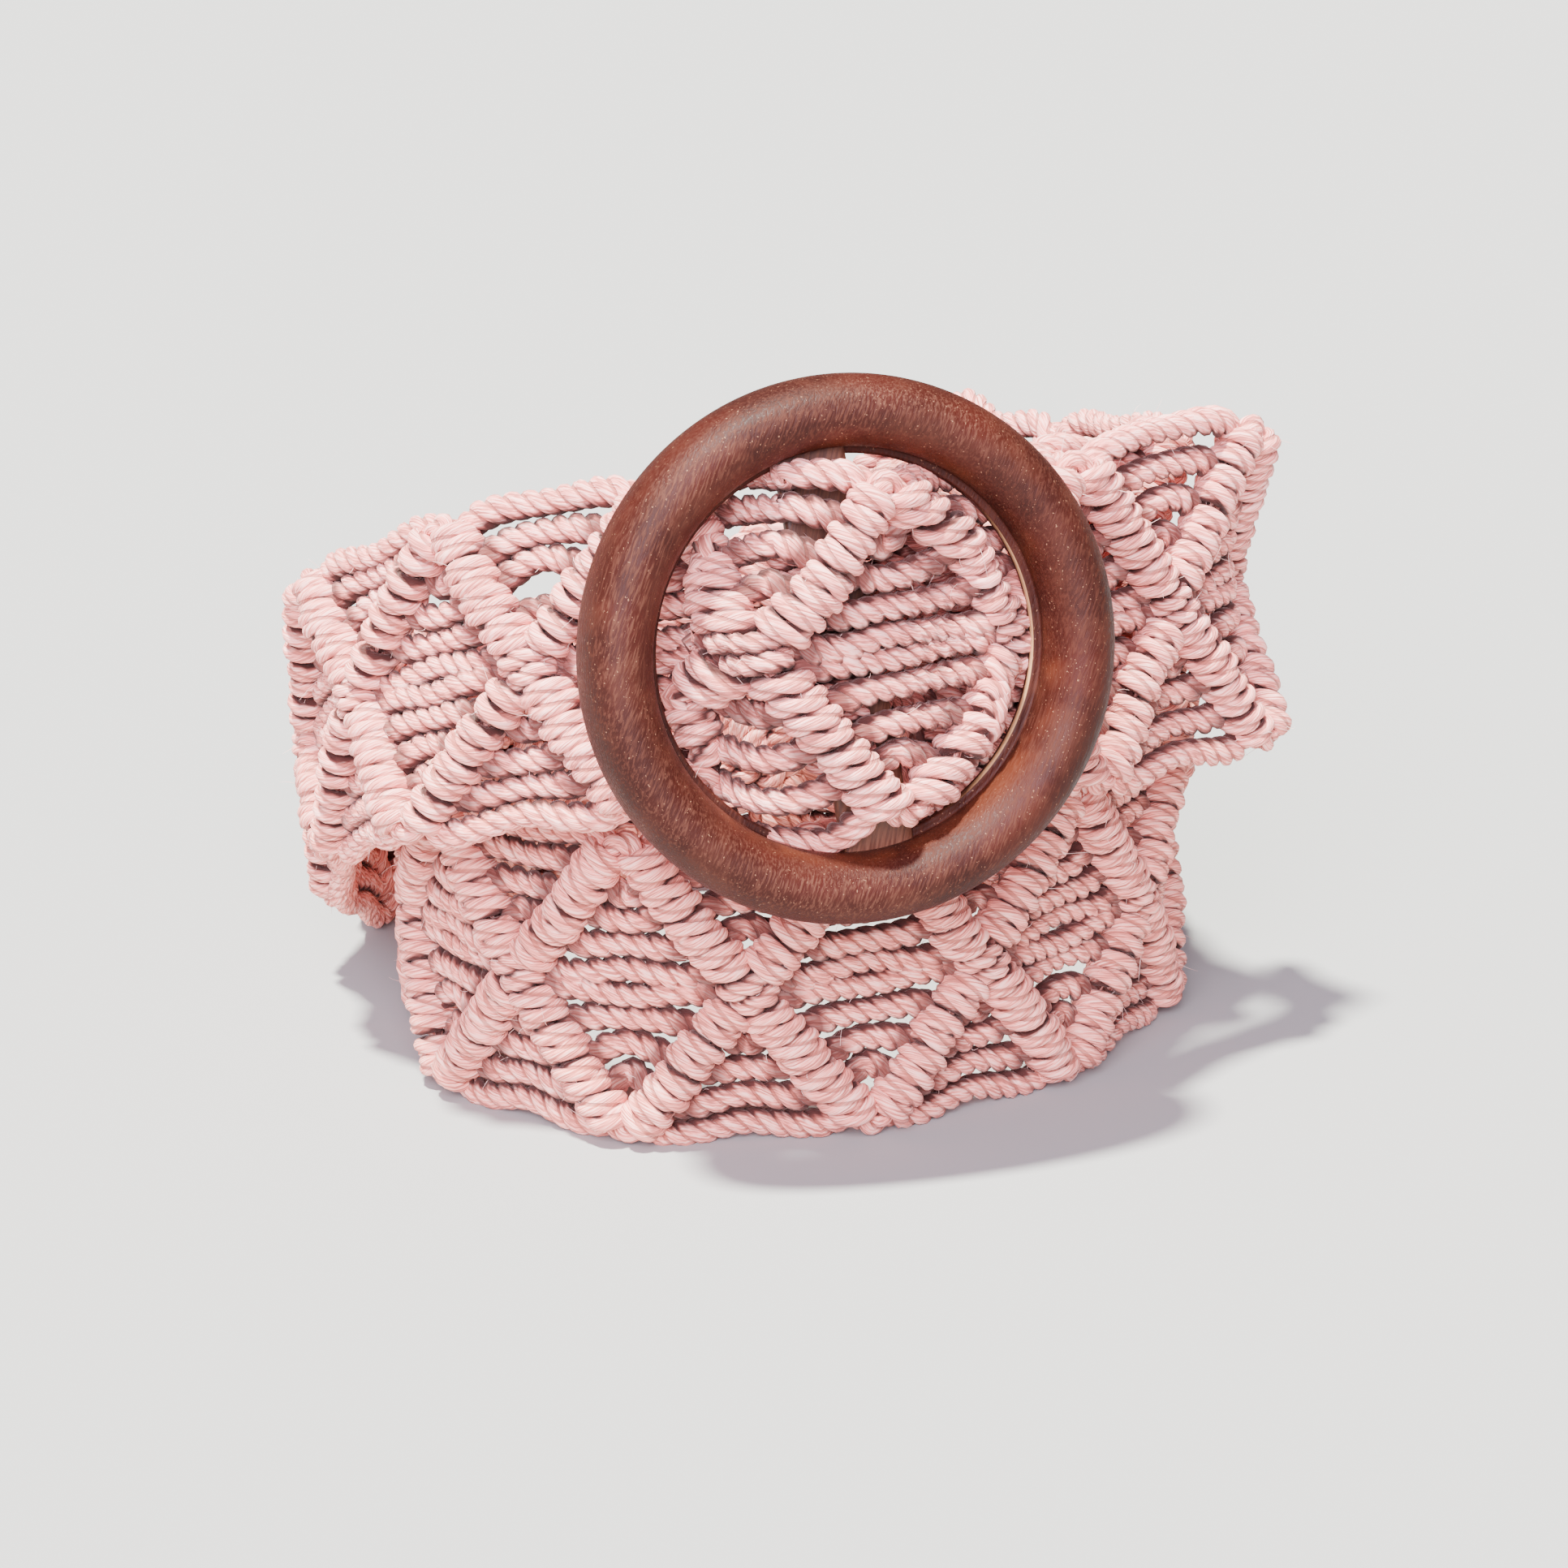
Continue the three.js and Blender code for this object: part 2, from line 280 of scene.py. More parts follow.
def tube(name, path, facing, half_width, half_depth, twist, press, open_side, free, deep):
    """A closed tube: at each path point a ring of the ply profile, half_depth along the facing
    direction and half_width across it, turned by the twist summed along the length. The turn of
    the facing direction itself round the path is taken off, so that only the real twist shows.
    No point goes below the table. The texture coordinate is the share round the cord and the
    length along it. Three layers go with the points. "flank" is 1 on the sides that press on the
    next cord, but not on the open side, and fades out where the cosine of the angle from the
    facing direction reaches press. "free" is 1 off the knots. "deep" says how deep in a pit the
    cord lies, on the sides that look away from the facing direction."""
    ahead = unit(np.gradient(path, axis=0))
    side = unit(np.cross(ahead, facing))
    face = np.cross(side, ahead)
    step = np.linalg.norm(np.diff(path, axis=0), axis=1)
    length = np.concatenate([[0], np.cumsum(step)])
    turned = np.arctan2((face[1:] * side[:-1]).sum(1), (face[1:] * face[:-1]).sum(1))
    ply = 2 * np.pi * np.concatenate([[0], np.cumsum(step * (twist[1:] + twist[:-1]) / 2)])
    ply[1:] -= np.cumsum(turned)
    angle = ply[:, None] + 2 * np.pi * np.arange(COLUMNS) / COLUMNS
    ring = path[:, None] + PLY_PROFILE[None, :, None] * (
        face[:, None] * (np.cos(angle) * half_depth[:, None])[..., None]
        + side[:, None] * (np.sin(angle) * half_width[:, None])[..., None])
    count = len(path)
    points = np.concatenate([ring.reshape(-1, 3), path[:1], path[-1:]])
    points[:, 2] = np.maximum(points[:, 2], 0)
    i, j = np.meshgrid(np.arange(count - 1), np.arange(COLUMNS), indexing="ij")
    a = i * COLUMNS + j
    b = i * COLUMNS + (j + 1) % COLUMNS
    c, d = a + COLUMNS, b + COLUMNS
    wall = np.stack([a, b, c, b, d, c], axis=-1).reshape(-1, 3)
    u, next_u, v, next_v = j / COLUMNS, (j + 1) / COLUMNS, length[i], length[i + 1]
    wall_uv = np.stack([u, v, next_u, v, u, next_v,
                        next_u, v, next_u, next_v, u, next_v], axis=-1)
    first, last = count * COLUMNS, count * COLUMNS + 1
    start = np.stack([b[0], a[0], np.full(COLUMNS, first)], axis=1)
    end = np.stack([c[-1], d[-1], np.full(COLUMNS, last)], axis=1)
    u, next_u, v, last_v = u[0], next_u[0], v[0], next_v[-1]
    start_uv = np.stack([next_u, v, u, v, u, v], axis=-1)
    end_uv = np.stack([u, last_v, next_u, last_v, u, last_v], axis=-1)
    uv = np.concatenate([wall_uv.ravel(), start_uv.ravel(), end_uv.ravel()])
    cord = add_mesh(name, points, np.concatenate([wall, start, end]), uv)
    flank = np.clip((press[:, None] - np.abs(np.cos(angle))) / FLANK_FADE, 0, 1)
    # The flank and deep layers are the masks of the painted shade in the cotton's colour.
    layers = {
        "flank": flank * (open_side[:, None] * np.sin(angle) < OPEN_FROM),
        "free": np.repeat(free[:, None], COLUMNS, 1),
        "deep": deep[:, None] * np.clip(PIT_FROM - np.cos(angle), 0, 1),
    }
    for layer_name, values in layers.items():
        layer = cord.data.attributes.new(layer_name, "FLOAT", "POINT")
        values = np.concatenate([values.ravel(), [0, 0]])
        layer.data.foreach_set("value", values.astype(np.float32))
    return cord


# The eight working cords. Each crosses two ribs in every repeat and is tied round the rib's
# carrier with a double half hitch: it dips behind the rib, takes two turns over the front and
# leaves behind it. Between the ribs it runs free, through a diamond and then an edge triangle.
RIB_RISE = np.array([0.6, 0.8])
TIP_TO_FIRST = 3.5
FALLING = {
    "along": np.array([0.6, -0.8]),
    "across": np.array([0.8, 0.6]),
    "lean": 0.15,
    "pitch": 3.5,
    "twist": 0.42,
}
RISING = {
    "along": np.array([0.6, 0.8]),
    "across": np.array([0.8, -0.6]),
    "lean": -0.14,
    "pitch": 3.5,
    "twist": 0.42,
}
BACK_PITCH = 1.16
WRAP_WIDTH = 2.6
WRAP_DEPTH = 2.7
ENTRY_TURN = 0.675
EXIT_TURN = 2.825
MIDDLE_TURN = 1.75
KNOT_STEPS = 36
WRAP_HALF = 2.0
WRAP_SQUEEZE = 0.28
DIAMOND_LEVELS = [16.0, 11.0, 6.5, 2.15]
TRIANGLE_LEVELS = [24.5, 19.9, 15.2, 10.6]
DIAMOND_STEPS = [5, 9, 12, 16]
TRIANGLE_STEPS = [16, 12, 9, 5]
STUB_STEPS = 4
FREE_DEPTH = -3.0
KNOT_WOBBLE = 0.22
LEVEL_WOBBLE = 0.35
DEPTH_WOBBLE = 0.5
SLACK = [
    # repeat, side, shift and inset of the edge cord, and how far each cord is moved towards the
    # edge, from the edge cord inwards
    (20, 1, 0.0, 0.0, (0.5, 2.0, 2.5, 3.0)),
    (21, 1, 0.0, 0.0, (2.0, 1.9, 2.8, -1.1)),
    (22, 1, 0.0, 0.0, (3.5, 3.0, 2.0, 0.0)),
    (22, -1, 8.0, 4.5, (6.0, 4.0, 2.0, 0.5)),
    (24, 1, 0.0, 0.0, (4.0, 3.0, 1.5, 0.5)),
]
chance = np.random.default_rng(11)


def knot(centre, rib):
    """A double half hitch round the rib at each centre: turn goes from behind, round the far
    side, over the front and round again, while the place along the rib moves on by one pitch for
    each turn over the front and by less behind. Returns path, facing, half width and half depth."""
    turn = np.linspace(ENTRY_TURN, EXIT_TURN, KNOT_STEPS)
    angle = 2 * np.pi * turn
    x = turn - MIDDLE_TURN
    inner = np.clip(x, -0.5, 0.5)
    side = WRAP_WIDTH * np.cos(angle)
    depth = WRAP_DEPTH * np.sin(angle)
    along = rib["lean"] * side - rib["pitch"] * inner - BACK_PITCH * (x - inner)
    flat = side[:, None] * rib["across"] + along[:, None] * rib["along"]
    path = np.empty((len(centre), KNOT_STEPS, 3))
    path[..., :2] = centre[:, None, :2] + flat
    path[..., 2] = centre[:, None, 2] + depth
    facing = np.empty_like(path)
    facing[..., :2] = np.cos(angle)[:, None] / WRAP_WIDTH * rib["across"]
    facing[..., 2] = np.sin(angle) / WRAP_DEPTH
    width = math.cos(math.atan(rib["lean"])) * (rib["pitch"] / 2 + WRAP_SQUEEZE)
    return path, unit(facing), np.full(path.shape[:2], width), np.full(path.shape[:2], WRAP_HALF)


def run(start, start_way, end, end_way, steps):
    """A free stretch: the cubic from start to end that leaves and arrives in the given ways."""
    f = np.linspace(0, 1, steps, endpoint=False)[None, :, None]
    length = np.linalg.norm(end - start, axis=-1)[:, None, None]
    p, q = start[:, None], end[:, None]
    v, w = unit(start_way)[:, None] * length, unit(end_way)[:, None] * length
    change = q - p
    c2 = 3 * change - 2 * v - w
    c3 = v + w - 2 * change
    return p + f * (v + f * (c2 + f * c3))


def joined(parts, knots, widths):
    """Joins the stretches of every repeat into one path. knots maps a stretch's place to its own
    facing, widths and twist. A free stretch faces the back, is a full cord deep and as wide as
    widths says at its two ends."""
    path = np.concatenate(parts, axis=1)
    steps = np.cumsum([0] + [part.shape[1] for part in parts])
    facing = np.broadcast_to([0.0, 0.0, -1.0], path.shape).copy()
    width = [np.linspace(*ends, part.shape[1]) for ends, part in zip(widths, parts)]
    width = np.broadcast_to(np.concatenate(width), path.shape[:2]).copy()
    depth = np.full(path.shape[:2], CORD_HALF)
    twist = np.ones(path.shape[:2])
    for place, (knot_facing, knot_width, knot_depth, knot_twist) in knots.items():
        span = slice(steps[place], steps[place + 1])
        facing[:, span], width[:, span], depth[:, span] = knot_facing, knot_width, knot_depth
        twist[:, span] = knot_twist
    flat = [a.reshape(-1, *a.shape[2:]) for a in (path, facing, width, depth, twist)]
    return flat, steps


def working_cord(side, index):
    """One working cord over all repeats in the flat pattern: path, facing, half width, half depth
    and twist. side is 1 above the middle line and -1 below it, index counts from the edge in."""
    count = math.ceil(LAST_REPEAT)
    k = np.arange(count)
    half = REPEAT / 2
    first, second = (FALLING, RISING) if side > 0 else (RISING, FALLING)

    def centres(sign, rib):
        """The knots on one rib, as far down it from the tip as the knots before it need."""
        level = HALF_SPAN - RIB_RISE[1] * (TIP_TO_FIRST + 2 * rib["pitch"] * (index + 0.5))
        x = k * REPEAT + half * (1 + sign * level / HALF_SPAN)
        wobble = chance.normal(0, KNOT_WOBBLE, (count, 3))
        return np.stack([x, np.full(count, side * level), np.zeros(count)], axis=1) + wobble

    knot_one = knot(centres(-1, first), first)
    knot_two = knot(centres(1, second), second)
    diamond = np.stack([np.arange(count + 1) * REPEAT,
                        side * DIAMOND_LEVELS[index] + chance.normal(0, LEVEL_WOBBLE, count + 1),
                        FREE_DEPTH + chance.normal(0, DEPTH_WOBBLE, count + 1)], axis=1)
    triangle = np.stack([k * REPEAT + half,
                         side * TRIANGLE_LEVELS[index] + chance.normal(0, LEVEL_WOBBLE, count),
                         FREE_DEPTH + chance.normal(0, DEPTH_WOBBLE, count)], axis=1)
    for repeat, row_side, shift, inset, lifts in SLACK:
        if row_side == side:
            triangle[repeat, 1] += side * lifts[index]
            if index == 0:
                triangle[repeat] += [shift, 0, -inset]
    forward = np.broadcast_to([1.0, 0.0, 0.0], (count, 3))
    near, far = DIAMOND_STEPS[index], TRIANGLE_STEPS[index]
    one, two = knot_one[0], knot_two[0]
    parts = [
        run(diamond[:-1], forward, one[:, 0], one[:, 1] - one[:, 0], near),
        one,
        run(one[:, -1], one[:, -1] - one[:, -2], triangle, forward, far)[:, 1:],
        run(triangle, forward, two[:, 0], two[:, 1] - two[:, 0], far),
        two,
        run(two[:, -1], two[:, -1] - two[:, -2], diamond[1:], forward, near)[:, 1:],
    ]
    knots = {1: knot_one[1:] + (first["twist"],), 4: knot_two[1:] + (second["twist"],)}
    apart, close = (CORD_HALF, CORD_SPREAD), (CORD_SPREAD, CORD_HALF)
    flat, steps = joined(parts, knots, [apart, close, close, apart, close, close])
    keep = (count - 1) * steps[-1] + steps[2] + STUB_STEPS
    return [a[:keep] for a in flat]


# The start of the belt: the ten cords lie side by side round the bar, over its front, round its
# left edge and away behind it. From there each goes on into the band.
CORDS = 10
SLEEVE_PITCH = 3.8
SLEEVE_FLAT = 1.5
SLEEVE_START = 1.5
SLEEVE_STEPS = 7
EDGE_STEPS = 10
BRIDGE_STEPS = 12
BAR_HALF = 6.0
BAR_ROUNDING = 0.5
BAR_GAP = 0.1
SOFTEN = 2
FREE_TWIST = 0.9
PIT_REACH = 7.0
PIT_REACH_FADE = 1.8
PIT_BEHIND = 0.2
PIT_BEHIND_FADE = 1.6
PIT_EDGE = 24.5
PIT_EDGE_FADE = 3.0


def sleeve(order):
    """The path round the bar in metres, with the direction that its section faces. order counts
    the cords from the top. Front stretch, half circle round the left edge, rear stretch."""
    level = ((CORDS - 1) / 2 - order) * SLEEVE_PITCH
    radius = BAR_THICK / MM / 2 + SLEEVE_FLAT + BAR_GAP
    turn_at = -BAR_HALF + BAR_ROUNDING
    front = np.linspace(SLEEVE_START, turn_at, SLEEVE_STEPS, endpoint=False)
    angle = np.linspace(0, np.pi, EDGE_STEPS)
    rear = np.linspace(turn_at, SLEEVE_START, SLEEVE_STEPS + 1)[1:]
    flat = np.ones(SLEEVE_STEPS)
    along = np.concatenate([front, turn_at - radius * np.sin(angle), rear])
    ahead = np.concatenate([flat * radius, radius * np.cos(angle), -flat * radius])
    side = np.concatenate([flat * 0, -np.sin(angle), flat * 0])
    face = np.concatenate([flat, np.cos(angle), -flat])
    place = bar_middle + MM * (along[:, None] * ring_right + ahead[:, None] * ring_front
                               + level * ring_up)
    facing = side[:, None] * ring_right + face[:, None] * ring_front
    return place, facing


def smooth(values, reach):
    """A running mean over 2 reach + 1 points along the path."""
    kernel = np.ones(2 * reach + 1) / (2 * reach + 1)
    ends = np.repeat(values[:1], reach, 0), values, np.repeat(values[-1:], reach, 0)
    padded = np.concatenate(ends)
    if values.ndim == 1:
        return np.convolve(padded, kernel, "valid")
    return np.stack([np.convolve(column, kernel, "valid") for column in padded.T], axis=1)


def in_pit(path):
    """How deep in a pit each point of a flat path lies, from 0 to 1: near a rib, behind its
    middle and away from the edges of the band."""
    slope = HALF_SPAN / (REPEAT / 2)
    along = path[:, 0] % REPEAT
    from_rib = RIB_RISE[0] * np.minimum(np.abs(path[:, 1] - HALF_SPAN + slope * along),
                                        np.abs(path[:, 1] + HALF_SPAN - slope * along))
    near = np.clip((PIT_REACH - from_rib) / PIT_REACH_FADE, 0, 1)
    behind = np.clip((PIT_BEHIND - path[:, 2]) / PIT_BEHIND_FADE, 0, 1)
    inside = np.clip((PIT_EDGE - np.abs(path[:, 1])) / PIT_EDGE_FADE, 0, 1)
    return near * behind * inside


def whole_cord(name, order, flat, open_side):
    """Puts a flat cord on the band, joins it to its loop round the bar and makes its tube.
    open_side is 1 or -1 where the side of the cord up or down the band has no neighbour."""
    path, facing, width, depth, twist = flat
    width, depth = smooth(width, SOFTEN), smooth(depth, SOFTEN)
    place, facing = on_band(path, unit(smooth(facing, SOFTEN)))
    loop, loop_facing = sleeve(order)
    away = loop[-1:] - loop[-2:-1]
    arrive = place[1:2] - place[:1]
    bridge = run(loop[-1:], away, place[:1], arrive, BRIDGE_STEPS)[0, 1:]
    bridge_depth = np.linspace(SLEEVE_FLAT, CORD_HALF, len(bridge))
    blend = np.linspace(0, 1, len(bridge))[:, None]
    bridge_facing = unit(loop_facing[-1] * (1 - blend) + facing[0] * blend)
    count = len(loop) + len(bridge)
    place = np.concatenate([loop, bridge, place])
    facing = np.concatenate([loop_facing, bridge_facing, facing])
    width = np.concatenate([np.full(count, SLEEVE_PITCH / 2), width])
    depth = np.concatenate([np.full(len(loop), SLEEVE_FLAT), bridge_depth, depth])
    twist = np.concatenate([np.ones(count), twist])
    deep = np.concatenate([np.zeros(count), in_pit(path)])
    open_side = np.concatenate([np.full(count, open_side[0]), open_side])
    free = twist > FREE_TWIST
    spread = np.clip((width - CORD_HALF) / (CORD_SPREAD - CORD_HALF), 0, 1)
    press = np.where(free, PRESS_FREE + spread * (PRESS_END - PRESS_FREE), PRESS_KNOT)
    cord = tube(
        name, place, facing,
        half_width=smooth(width, SOFTEN) * MM,
        half_depth=smooth(depth, SOFTEN) * MM,
        twist=smooth(twist, SOFTEN) / PLY_PITCH,
        press=smooth(press, 1),
        open_side=open_side,
        free=smooth(free.astype(float), SOFTEN),
        deep=deep,
    )
    cord.data.materials.append(cotton)
    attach(cord, "root")
    return cord


# The cotton is dyed a dusty pink. Its fibres run slantwise over each ply. Painted shade darkens it
# in the grooves between the plies, between pressed cords and in the pits. The upper turn is a
# little cooler than the lower one.
FIBRE_TURN = 470.0
FIBRE_WIDTH = 0.36
FIBRE_LENGTH = 3.2
COTTON_DARK = (0.48, 0.145, 0.12, 1)
COTTON_MID = (0.90, 0.295, 0.247, 1)
COTTON_LIGHT = (1.0, 0.53, 0.472, 1)
COTTON_GROOVE_SHADE = (0.36, 0.10, 0.075, 1)
COTTON_PAINTED_SHADE = (0.055, 0.016, 0.014, 1)
COTTON_SHEEN = (1.0, 0.66, 0.60, 1)
TINT_LOW = (1.0, 0.975, 0.94, 1)
TINT_HIGH = (0.99, 0.975, 1.0, 1)
TINT_FADED = (0.93, 0.90, 0.88, 1)
TINT_NONE = (1, 1, 1, 1)
STREAK_MID = (0.38, 0.50)
STREAK_LIGHT = (0.50, 0.61)
PLIES = 3
GROOVE_RISE = (0.70, 0.98)
GROOVE_IN_KNOT = 0.72
GROOVE_FREE = 0.80
GROOVE_RELIEF = 0.9
FIBRE_RELIEF = 0.30 * MM
TINT_HEIGHTS = (0.02, 0.11)
PIT_SHADE_SHARE = 0.86
CLOUD_SCALE = 90.0
CLOUD_RISE = (0.3, 0.7)


class Nodes:
    """A material's node tree, with short calls that add a node, set its inputs and link them."""

    def __init__(self, name):
        self.material = bpy.data.materials.new(name)
        self.material.use_nodes = True
        self.tree = self.material.node_tree
        self.skin = self.tree.nodes["Principled BSDF"]

    def put(self, socket, value):
        """Links value to the socket if it is another node's output, and else sets it."""
        if isinstance(value, bpy.types.NodeSocket):
            self.tree.links.new(value, socket)
        else:
            socket.default_value = value

    def math(self, operation, *values):
        node = self.tree.nodes.new("ShaderNodeMath")
        node.operation = operation
        for socket, value in zip(node.inputs, values):
            self.put(socket, value)
        return node.outputs[0]

    def times(self, first, second):
        return self.math("MULTIPLY", first, second)

    def join(self, x, y, z):
        node = self.tree.nodes.new("ShaderNodeCombineXYZ")
        for socket, value in zip(node.inputs, (x, y, z)):
            self.put(socket, value)
        return node.outputs[0]

    def split(self, vector):
        node = self.tree.nodes.new("ShaderNodeSeparateXYZ")
        self.put(node.inputs[0], vector)
        return node.outputs

    def noise(self, vector, scale, detail=2.0, roughness=0.5):
        """Cloudy noise between 0 and 1 at the given coordinates."""
        node = self.tree.nodes.new("ShaderNodeTexNoise")
        self.put(node.inputs["Vector"], vector)
        node.inputs["Scale"].default_value = scale
        node.inputs["Detail"].default_value = detail
        node.inputs["Roughness"].default_value = roughness
        return node.outputs["Fac"]

    def spread(self, value, low, high, to_low=0.0, to_high=1.0):
        """Carries low..high onto to_low..to_high, smoothly and held at the ends."""
        node = self.tree.nodes.new("ShaderNodeMapRange")
        node.interpolation_type = "SMOOTHSTEP"
        for socket, number in zip(node.inputs, (value, low, high, to_low, to_high)):
            self.put(socket, number)
        return node.outputs[0]

    def between(self, value, start, full, full_end, end):
        """1 from full to full_end, and falling to 0 at start and at end."""
        return self.times(self.spread(value, start, full), self.spread(value, end, full_end))

    def mix(self, share, first, second, blend="MIX"):
        """A share of the second colour over the first. Sockets 6 and 7 are the node's colours."""
        node = self.tree.nodes.new("ShaderNodeMix")
        node.data_type = "RGBA"
        node.blend_type = blend
        self.put(node.inputs[0], share)
        self.put(node.inputs[6], first)
        self.put(node.inputs[7], second)
        return node.outputs[2]

    def bump(self, height, distance, strength=1.0):
        node = self.tree.nodes.new("ShaderNodeBump")
        node.inputs["Distance"].default_value = distance
        node.inputs["Strength"].default_value = strength
        self.put(node.inputs["Height"], height)
        return node.outputs[0]

    def place(self):
        """Coordinates on the piece in metres."""
        node = self.tree.nodes.new("ShaderNodeTexCoord")
        return node.outputs["Object"]

    def grain(self, ways, stretch):
        """Noise in fine streaks: the place is turned to the grain's three ways and stretched."""
        turner = self.tree.nodes.new("ShaderNodeMapping")
        turner.inputs["Rotation"].default_value = Matrix(ways).to_euler()
        self.put(turner.inputs["Vector"], self.place())
        stretcher = self.tree.nodes.new("ShaderNodeVectorMath")
        stretcher.operation = "MULTIPLY"
        stretcher.inputs[1].default_value = stretch
        self.put(stretcher.inputs[0], turner.outputs[0])
        return self.noise(stretcher.outputs[0], scale=1.0, detail=3.0, roughness=0.6)

    def layer(self, name):
        """A value that the piece carries at each point."""
        node = self.tree.nodes.new("ShaderNodeAttribute")
        node.attribute_name = name
        return node.outputs["Fac"]

    def follow(self):
        """Coordinates round and along the piece, from its own layer."""
        node = self.tree.nodes.new("ShaderNodeUVMap")
        node.uv_map = "length"
        return node.outputs[0]


fibre = Nodes("cotton")
around, along = fibre.split(fibre.follow())[:2]
turn = fibre.math("ADD", fibre.times(around, 2 * math.pi), fibre.times(along, FIBRE_TURN))
rim = CORD_HALF / FIBRE_WIDTH
strand = fibre.join(
    fibre.times(fibre.math("COSINE", turn), rim),
    fibre.times(fibre.math("SINE", turn), rim),
    fibre.times(along, 1 / (FIBRE_LENGTH * MM)),
)
streak = fibre.noise(strand, scale=1.0, roughness=0.6)
tone = fibre.mix(fibre.spread(streak, *STREAK_MID), COTTON_DARK, COTTON_MID)
tone = fibre.mix(fibre.spread(streak, *STREAK_LIGHT), tone, COTTON_LIGHT)
# Painted shade in the grooves between the plies.
ply_turn = fibre.times(around, PLIES * 2 * math.pi)
groove = fibre.spread(fibre.math("COSINE", ply_turn), *GROOVE_RISE)
groove_share = fibre.spread(fibre.layer("free"), 0.0, 1.0, GROOVE_IN_KNOT, GROOVE_FREE)
tone = fibre.mix(fibre.times(groove, groove_share), tone, COTTON_GROOVE_SHADE)
height = fibre.split(fibre.place())[2]
tint = fibre.mix(fibre.spread(height, *TINT_HEIGHTS), TINT_LOW, TINT_HIGH)
tone = fibre.mix(1.0, tone, tint, "MULTIPLY")
# Painted shade: darker between pressed cords and in the pits beside the ribs, where shade falls.
painted_shade = fibre.spread(fibre.layer("flank"), 0.0, 1.0)
painted_shade = fibre.math("MAXIMUM", painted_shade, fibre.times(fibre.layer("deep"), PIT_SHADE_SHARE))
tone = fibre.mix(painted_shade, tone, COTTON_PAINTED_SHADE)
cloud = fibre.noise(fibre.place(), CLOUD_SCALE)
patch = fibre.mix(fibre.spread(cloud, *CLOUD_RISE), TINT_FADED, TINT_NONE)
tone = fibre.mix(1.0, tone, patch, "MULTIPLY")
fibre.put(fibre.skin.inputs["Base Color"], tone)
relief = fibre.math("SUBTRACT", streak, fibre.times(groove, GROOVE_RELIEF))
fibre.put(fibre.skin.inputs["Normal"], fibre.bump(relief, FIBRE_RELIEF))
fibre.skin.inputs["Roughness"].default_value = 0.92
fibre.skin.inputs["Specular IOR Level"].default_value = 0.2
fibre.skin.inputs["Sheen Weight"].default_value = 0.18
fibre.skin.inputs["Sheen Roughness"].default_value = 0.45
fibre.skin.inputs["Sheen Tint"].default_value = COTTON_SHEEN
cotton = fibre.material

# The working cords are made here, four above the middle line and four below it. Only the outermost
# one of each four has an open side.
cords = []
for half, side in (("upper", 1), ("lower", -1)):
    for index in range(4):
        order = index + 1 if side > 0 else CORDS - 2 - index
        flat = working_cord(side, index)
        open_side = np.full(len(flat[0]), side if index == 0 else 0)
        cords.append(whole_cord(f"{half}_cord_{index + 1}", order, flat, open_side))


# The two carriers run slantwise from edge to edge inside the ribs, cross in the middle of every
# repeat and turn back at the tips, where they show. The rising one is tied round the falling one.
# Farther than OPEN_LEVEL from the middle line they have no neighbour on the outer side.
TIP_LEVEL = 26.1
OPEN_LEVEL = 21.0
HIDDEN_HALF = 1.15
SQUEEZE_FROM = 8.0
SQUEEZE_LENGTH = 5.0
RIB_MARKS = [
    # millimetres along a rib of 70: end of the turn at its tip, start of the crossing, the core
    # in the crossing from and to, end of the crossing, start of the turn at the next tip
    6.0, 29.0, 31.0, 39.0, 41.0, 64.0,
]
TIP_STEPS = 6
RIB_STEPS = 5
LEG_STEPS = 3


def carrier(start_side):
    """One carrier over all repeats in the flat pattern. It falls and rises in turn, from the side
    where it starts. Its section is full at the tips and squeezed thin inside the ribs."""
    count = math.ceil(LAST_REPEAT)
    forward = np.array([[1.0, 0.0, 0.0]])
    pieces = []
    for k in range(count):
        side = start_side * (-1) ** k
        start = np.array([k * REPEAT, 0, 0])
        corner = start + [0, side * HALF_SPAN, 0]
        rib_way = np.array([[RIB_RISE[0], -side * RIB_RISE[1], 0]])
        near_tip, meets, core_from, core_to, clear, near_next = [corner + rib_way * mark
                                                                for mark in RIB_MARKS]
        tip = start + [[0, side * TIP_LEVEL, 0]]
        next_tip = start + [[REPEAT, -side * TIP_LEVEL, 0]]
        crossing, *section = knot(start + [[REPEAT / 2, 0, 0]], FALLING)
        if side > 0:
            line = np.linspace(0, 1, KNOT_STEPS)[None, :, None]
            crossing = core_from[:, None] * (1 - line) + core_to[:, None] * line
            thin = np.full(crossing.shape[:2], HIDDEN_HALF)
            section = [np.broadcast_to([0.0, 0.0, -1.0], crossing.shape), thin, thin]
        enter, leave = crossing[:, 1] - crossing[:, 0], crossing[:, -1] - crossing[:, -2]
        parts = [
            run(tip, forward, near_tip, rib_way, TIP_STEPS),
            run(near_tip, rib_way, meets, rib_way, RIB_STEPS),
            run(meets, rib_way, crossing[:, 0], enter, LEG_STEPS),
            crossing,
            run(crossing[:, -1], leave, clear, rib_way, LEG_STEPS)[:, 1:],
            run(clear, rib_way, near_next, rib_way, RIB_STEPS),
            run(near_next, rib_way, next_tip, forward, TIP_STEPS),
        ]
        flat, steps = joined(parts, {3: (*section, 1.0)}, [(CORD_HALF, CORD_HALF)] * len(parts))
        from_tip = (HALF_SPAN - np.abs(flat[0][:, 1])) / RIB_RISE[1]
        fullness = np.clip((SQUEEZE_FROM - from_tip) / SQUEEZE_LENGTH, 0, 1)
        half = HIDDEN_HALF + (CORD_HALF - HIDDEN_HALF) * fullness
        free = np.ones(len(half), bool)
        free[steps[3]:steps[4]] = False
        flat[2][free], flat[3][free] = half[free], half[free]
        if k == count - 1:
            flat = [a[:steps[4] + 1] for a in flat]
        pieces.append(flat)
    return [np.concatenate(arrays) for arrays in zip(*pieces)]


